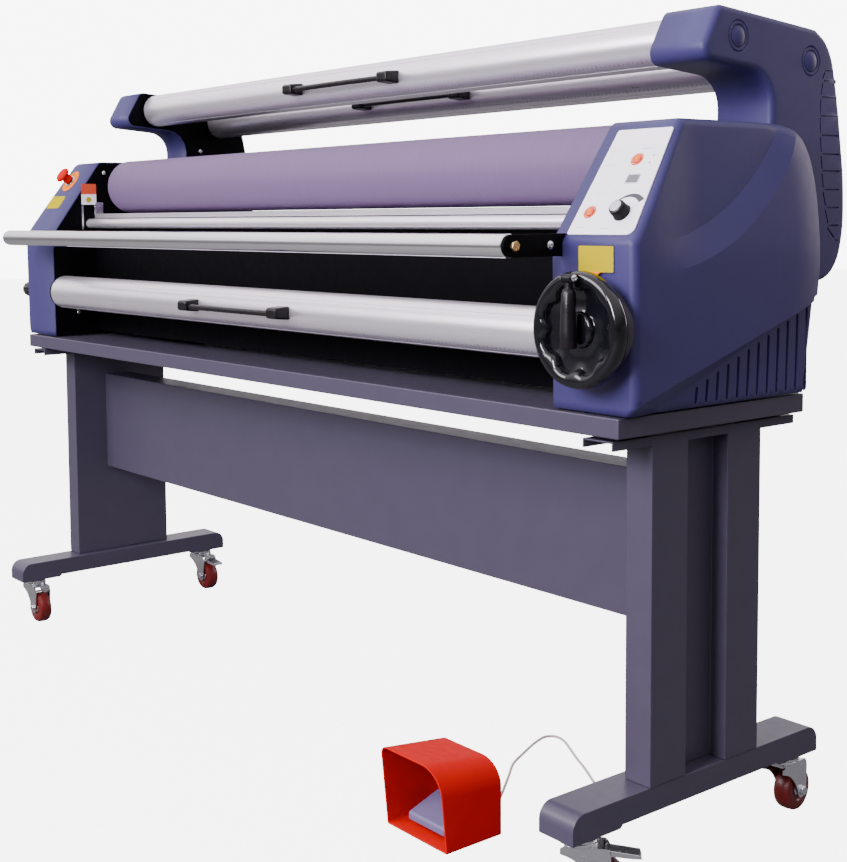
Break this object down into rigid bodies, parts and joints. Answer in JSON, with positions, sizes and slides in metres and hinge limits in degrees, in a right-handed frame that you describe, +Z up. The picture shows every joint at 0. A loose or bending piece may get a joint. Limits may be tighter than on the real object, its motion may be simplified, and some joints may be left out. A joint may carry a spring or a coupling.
{
  "type": "cold roll laminator",
  "caption": "Wide cold roll laminator on a wheeled stand: powered nip rollers, film shafts on arms, pressure handwheel and a guarded foot switch.",
  "frame": {"origin": "middle of the whole object's box, on the floor that its casters and foot switch stand on", "axes": "+X to the operator's right along the rollers, +Y away from the operator, in the direction the media travels, +Z up"},
  "size_m": [2.1106, 0.7181, 1.3471],
  "materials": {
    "frame_paint": "fine textured powder coat",
    "cover_plastic": "textured navy-violet moulding",
    "black_steel": "black powder coat",
    "aluminium": "anodised, satin",
    "chrome": "polished plating",
    "zinc": "bright zinc plate",
    "steel": "ground steel",
    "core_aluminium": "turned",
    "roller_rubber": "ground silicone rubber",
    "black_gloss": "glossy black",
    "wheel_red": "dark red polyurethane",
    "keypad": "satin printed overlay",
    "button_orange": "glossy",
    "safety_red": "glossy red",
    "pedal_grey": "grained",
    "cable_grey": "satin PVC",
    "motor_grey": "painted casting",
    "box_grey": "moulded case"
  },
  "bodies": {
    "frame": {"base_tray": "frame_paint", "cross_panel": "frame_paint", "left_leg": "frame_paint", "right_leg": "frame_paint", "left_foot": "frame_paint", "right_foot": "frame_paint", "left_side_plate": "black_steel", "right_side_plate": "black_steel", "left_end_cover": "cover_plastic", "right_end_cover": "cover_plastic", "left_arm_cover": "cover_plastic", "right_arm_cover": "cover_plastic", "left_guide_bracket": "black_steel", "right_guide_bracket": "black_steel", "infeed_table": "aluminium", "front_cover": "black_steel", "rear_cover": "frame_paint", "power_inlet": "black_gloss", "gearmotor": "motor_grey", "control_box": "box_grey", "handwheel_boss": "black_steel", "control_panel": "keypad", "footswitch_guard": "safety_red", "footswitch_cable": "cable_grey", "cable_gland": "black_gloss"},
    "roller_carriage": {"left_bearing_block": "steel", "right_bearing_block": "steel"},
    "upper_roller": {"upper_roller_core": "core_aluminium", "upper_roller_sleeve": "roller_rubber"},
    "lower_roller": {"lower_roller_core": "core_aluminium", "lower_roller_sleeve": "roller_rubber"},
    "left_screw": {"left_lift_screw": "steel"},
    "right_screw": {"right_lift_screw": "steel"},
    "drive_shaft": {"cross_shaft": "steel"},
    "handwheel": {"handwheel": "black_gloss"},
    "crank": {"crank_handle": "black_gloss"},
    "film_shaft": {"upper_front_shaft": "aluminium", "upper_front_shaft_handle": "black_gloss"},
    "liner_shaft": {"upper_rear_shaft": "aluminium", "upper_rear_shaft_handle": "black_gloss"},
    "media_shaft": {"lower_front_shaft": "aluminium", "lower_front_shaft_handle": "black_gloss"},
    "idler": {"idler_tube": "aluminium"},
    "guide_tube": {"front_guide_tube": "chrome"},
    "tension_knob": {"tension_knob": "black_gloss"},
    "speed_knob": {"speed_knob": "black_gloss"},
    "start_button": {"start_button": "button_orange"},
    "stop_button": {"stop_button": "button_orange"},
    "emergency_stop": {"emergency_stop": "safety_red"},
    "pedal": {"footswitch_pedal": "pedal_grey"},
    "front_left_caster": {"front_left_caster_fork": "zinc"},
    "front_left_wheel": {"front_left_caster_wheel": "wheel_red"},
    "rear_left_caster": {"rear_left_caster_fork": "zinc"},
    "rear_left_wheel": {"rear_left_caster_wheel": "wheel_red"},
    "rear_left_brake": {"rear_left_caster_brake": "zinc"},
    "front_right_caster": {"front_right_caster_fork": "zinc"},
    "front_right_wheel": {"front_right_caster_wheel": "wheel_red"},
    "front_right_brake": {"front_right_caster_brake": "zinc"},
    "rear_right_caster": {"rear_right_caster_fork": "zinc"},
    "rear_right_wheel": {"rear_right_caster_wheel": "wheel_red"}
  },
  "joints": [
    {"name": "handwheel_turn", "type": "hinge", "parent": "frame", "child": "handwheel", "pos_m": [0.9693, -0.27305, 0.858], "axis": [0, -1, 0], "range_deg": [0, 1440]},
    {"name": "crank_fold", "type": "hinge", "parent": "handwheel", "child": "crank", "pos_m": [0.9693, -0.29505, 0.934], "axis": [-1, 0, 0], "range_deg": [0, 90]},
    {"name": "roller_lift", "type": "slide", "parent": "frame", "child": "roller_carriage", "axis": [0, 0, 1], "range_m": [0, 0.028]},
    {"name": "cross_shaft_spin", "type": "hinge", "parent": "frame", "child": "drive_shaft", "pos_m": [0.0173, 0.03895, 0.858], "axis": [1, 0, 0], "range_deg": [0, 1440]},
    {"name": "left_screw_spin", "type": "hinge", "parent": "frame", "child": "left_screw", "pos_m": [-0.8837, 0.03895, 0.858], "axis": [0, 0, 1], "range_deg": [0, 1440]},
    {"name": "right_screw_spin", "type": "hinge", "parent": "frame", "child": "right_screw", "pos_m": [0.9183, 0.03895, 0.858], "axis": [0, 0, -1], "range_deg": [0, 1440]},
    {"name": "lower_roller_spin", "type": "hinge", "parent": "frame", "child": "lower_roller", "pos_m": [0.0173, -0.02905, 0.9735], "axis": [1, 0, 0], "continuous": true},
    {"name": "upper_roller_spin", "type": "hinge", "parent": "roller_carriage", "child": "upper_roller", "pos_m": [0.0173, -0.02905, 1.104], "axis": [1, 0, 0], "continuous": true},
    {"name": "film_shaft_spin", "type": "hinge", "parent": "frame", "child": "film_shaft", "pos_m": [0.0173, 0.06295, 1.301], "axis": [1, 0, 0], "continuous": true},
    {"name": "liner_shaft_spin", "type": "hinge", "parent": "frame", "child": "liner_shaft", "pos_m": [0.0173, 0.25295, 1.276], "axis": [1, 0, 0], "continuous": true},
    {"name": "media_shaft_spin", "type": "hinge", "parent": "frame", "child": "media_shaft", "pos_m": [0.0173, -0.20905, 0.843], "axis": [1, 0, 0], "continuous": true},
    {"name": "idler_spin", "type": "hinge", "parent": "frame", "child": "idler", "pos_m": [0.0173, -0.13405, 1.0125], "axis": [1, 0, 0], "continuous": true},
    {"name": "guide_tube_spin", "type": "hinge", "parent": "frame", "child": "guide_tube", "pos_m": [0.0173, -0.34105, 0.98], "axis": [1, 0, 0], "continuous": true},
    {"name": "tension_knob_turn", "type": "hinge", "parent": "frame", "child": "tension_knob", "pos_m": [-0.9827, -0.20905, 0.843], "axis": [-1, 0, 0], "range_deg": [0, 360]},
    {"name": "speed_knob_turn", "type": "hinge", "parent": "frame", "child": "speed_knob", "pos_m": [0.9923, -0.20671, 1.02549], "axis": [0, 0.8097, -0.5868], "range_deg": [0, 300]},
    {"name": "start_button_press", "type": "slide", "parent": "frame", "child": "start_button", "axis": [0, 0.8097, -0.5868], "range_m": [0, 0.0015], "stiffness_N_per_m": 800},
    {"name": "stop_button_press", "type": "slide", "parent": "frame", "child": "stop_button", "axis": [0, 0.8097, -0.5868], "range_m": [0, 0.0015], "stiffness_N_per_m": 800},
    {"name": "emergency_stop_press", "type": "slide", "parent": "frame", "child": "emergency_stop", "axis": [0, 0.8097, -0.5868], "range_m": [0, 0.005], "stiffness_N_per_m": 1500},
    {"name": "pedal_press", "type": "hinge", "parent": "frame", "child": "pedal", "pos_m": [0.6553, -0.22705, 0.014], "axis": [1, 0, 0], "range_deg": [0, 6], "stiffness_Nm_per_rad": 2, "springref_deg": -6.88},
    {"name": "front_left_caster_swivel", "type": "hinge", "parent": "frame", "child": "front_left_caster", "pos_m": [-0.9342, -0.26705, 0.06], "axis": [0, 0, 1], "continuous": true},
    {"name": "front_left_wheel_spin", "type": "hinge", "parent": "front_left_caster", "child": "front_left_wheel", "pos_m": [-0.9042, -0.26705, 0.0375], "axis": [0, 1, 0], "continuous": true},
    {"name": "rear_left_caster_swivel", "type": "hinge", "parent": "frame", "child": "rear_left_caster", "pos_m": [-0.9342, 0.22895, 0.06], "axis": [0, 0, 1], "continuous": true},
    {"name": "rear_left_wheel_spin", "type": "hinge", "parent": "rear_left_caster", "child": "rear_left_wheel", "pos_m": [-0.9042, 0.22895, 0.0375], "axis": [0, 1, 0], "continuous": true},
    {"name": "rear_left_brake_press", "type": "hinge", "parent": "rear_left_caster", "child": "rear_left_brake", "pos_m": [-0.8942, 0.22895, 0.082], "axis": [0, 1, 0], "range_deg": [0, 15]},
    {"name": "front_right_caster_swivel", "type": "hinge", "parent": "frame", "child": "front_right_caster", "pos_m": [0.9688, -0.26705, 0.06], "axis": [0, 0, 1], "continuous": true},
    {"name": "front_right_wheel_spin", "type": "hinge", "parent": "front_right_caster", "child": "front_right_wheel", "pos_m": [0.99074, -0.24659, 0.0375], "axis": [-0.682, 0.7314, 0], "continuous": true},
    {"name": "front_right_brake_press", "type": "hinge", "parent": "front_right_caster", "child": "front_right_brake", "pos_m": [0.99805, -0.23977, 0.082], "axis": [-0.682, 0.7314, 0], "range_deg": [0, 15]},
    {"name": "rear_right_caster_swivel", "type": "hinge", "parent": "frame", "child": "rear_right_caster", "pos_m": [0.9688, 0.22895, 0.06], "axis": [0, 0, 1], "continuous": true},
    {"name": "rear_right_wheel_spin", "type": "hinge", "parent": "rear_right_caster", "child": "rear_right_wheel", "pos_m": [0.96618, 0.25884, 0.0375], "axis": [-0.9962, -0.0872, 0], "continuous": true}
  ],
  "couplings": [
    {"joint": "handwheel_turn", "follows": "roller_lift", "rad_per_m": 897.6},
    {"joint": "cross_shaft_spin", "follows": "roller_lift", "rad_per_m": 897.6},
    {"joint": "left_screw_spin", "follows": "roller_lift", "rad_per_m": 897.6},
    {"joint": "right_screw_spin", "follows": "roller_lift", "rad_per_m": 897.6},
    {"joint": "upper_roller_spin", "follows": "lower_roller_spin", "ratio": -1}
  ]
}
